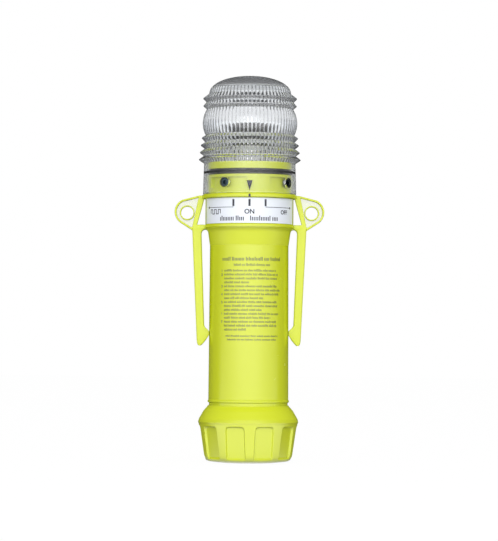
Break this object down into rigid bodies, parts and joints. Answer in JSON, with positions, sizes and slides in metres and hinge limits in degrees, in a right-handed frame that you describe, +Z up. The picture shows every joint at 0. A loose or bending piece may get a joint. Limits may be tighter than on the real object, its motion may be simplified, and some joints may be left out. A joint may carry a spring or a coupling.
{
  "type": "battery beacon light",
  "caption": "Hand-held battery beacon: yellow tube with screw-on cap, clear ribbed lens that turns to select the mode, lanyard eyes and sprung belt clips.",
  "frame": {"origin": "centre of the battery cap's flat base", "axes": "+Z up along the tube towards the lens, front of the label faces -Y, lanyard wings along +X and -X"},
  "size_m": [0.0796, 0.054, 0.2055],
  "materials": {
    "yellow_plastic": "fluorescent yellow-green moulding, satin",
    "yellow_wing": "fluorescent yellow-green moulding, thin and slightly see-through",
    "yellow_clip": "fluorescent yellow-green moulding, satin",
    "yellow_cap": "fluorescent yellow-green moulding, satin",
    "clear_plastic": "clear moulded plastic",
    "label_film": "white printed film",
    "black_rubber": "black rubber",
    "dark_steel": "blackened steel",
    "bright_steel": "plated steel",
    "brass": "spring brass",
    "cell_wrap": "plain battery wrap",
    "black_plastic": "black moulded plastic",
    "green_board": "solder-masked board",
    "white_board": "board with white solder mask",
    "pale_plastic": "pale grey moulded plastic",
    "led_resin": "pale cast resin"
  },
  "bodies": {
    "shell": {"body_shell": "yellow_plastic", "lanyard_wing_left": "yellow_wing", "lanyard_wing_right": "yellow_wing", "dial_label": "label_film", "neck_o_ring": "black_rubber", "cap_o_ring": "black_rubber", "battery_cell_lower": "cell_wrap", "battery_cell_upper": "cell_wrap", "return_strip": "brass", "contact_carrier": "black_plastic", "positive_contact": "brass", "driver_board": "green_board", "driver_chip": "black_plastic", "inductor": "black_plastic", "capacitor": "bright_steel", "reed_switch_1": "black_plastic", "reed_switch_2": "black_plastic", "board_spacer_1": "bright_steel", "board_spacer_2": "bright_steel", "board_spacer_3": "bright_steel", "module_screw_1": "dark_steel", "module_screw_2": "dark_steel", "module_screw_3": "dark_steel", "led_board": "white_board", "led_holder": "pale_plastic", "led_1": "led_resin", "led_2": "led_resin", "led_3": "led_resin", "led_4": "led_resin", "led_5": "led_resin", "led_6": "led_resin", "post_cap": "black_plastic"},
    "lens_turret": {"lens": "clear_plastic", "retaining_screw_1": "dark_steel", "retaining_screw_2": "dark_steel", "retaining_screw_3": "dark_steel", "retaining_screw_4": "dark_steel", "selector_magnet": "bright_steel"},
    "clip_left": {"belt_clip_left": "yellow_clip"},
    "clip_right": {"belt_clip_right": "yellow_clip"},
    "spring_seat": {"tail_spring": "bright_steel"},
    "cap": {"battery_cap": "yellow_cap", "contact_plate": "brass"}
  },
  "joints": [
    {"name": "lens_turn", "type": "hinge", "parent": "shell", "child": "lens_turret", "pos_m": [0, 0, 0.1482], "axis": [0, 0, 1], "range_deg": [-20.8, 20.8]},
    {"name": "clip_left_flex", "type": "hinge", "parent": "shell", "child": "clip_left", "pos_m": [-0.0277, 0, 0.1228], "axis": [0, 1, 0], "range_deg": [0, 6], "stiffness_Nm_per_rad": 0.6},
    {"name": "clip_right_flex", "type": "hinge", "parent": "shell", "child": "clip_right", "pos_m": [0.0277, 0, 0.1228], "axis": [0, -1, 0], "range_deg": [0, 6], "stiffness_Nm_per_rad": 0.6},
    {"name": "cap_travel", "type": "slide", "parent": "shell", "child": "spring_seat", "axis": [0, 0, -1], "range_m": [0, 0.0081]},
    {"name": "cap_turn", "type": "hinge", "parent": "spring_seat", "child": "cap", "pos_m": [0, 0, 0], "axis": [0, 0, -1], "range_deg": [0, 720]}
  ],
  "couplings": [
    {"joint": "cap_travel", "follows": "cap_turn", "m_per_rad": 0.00063662}
  ]
}
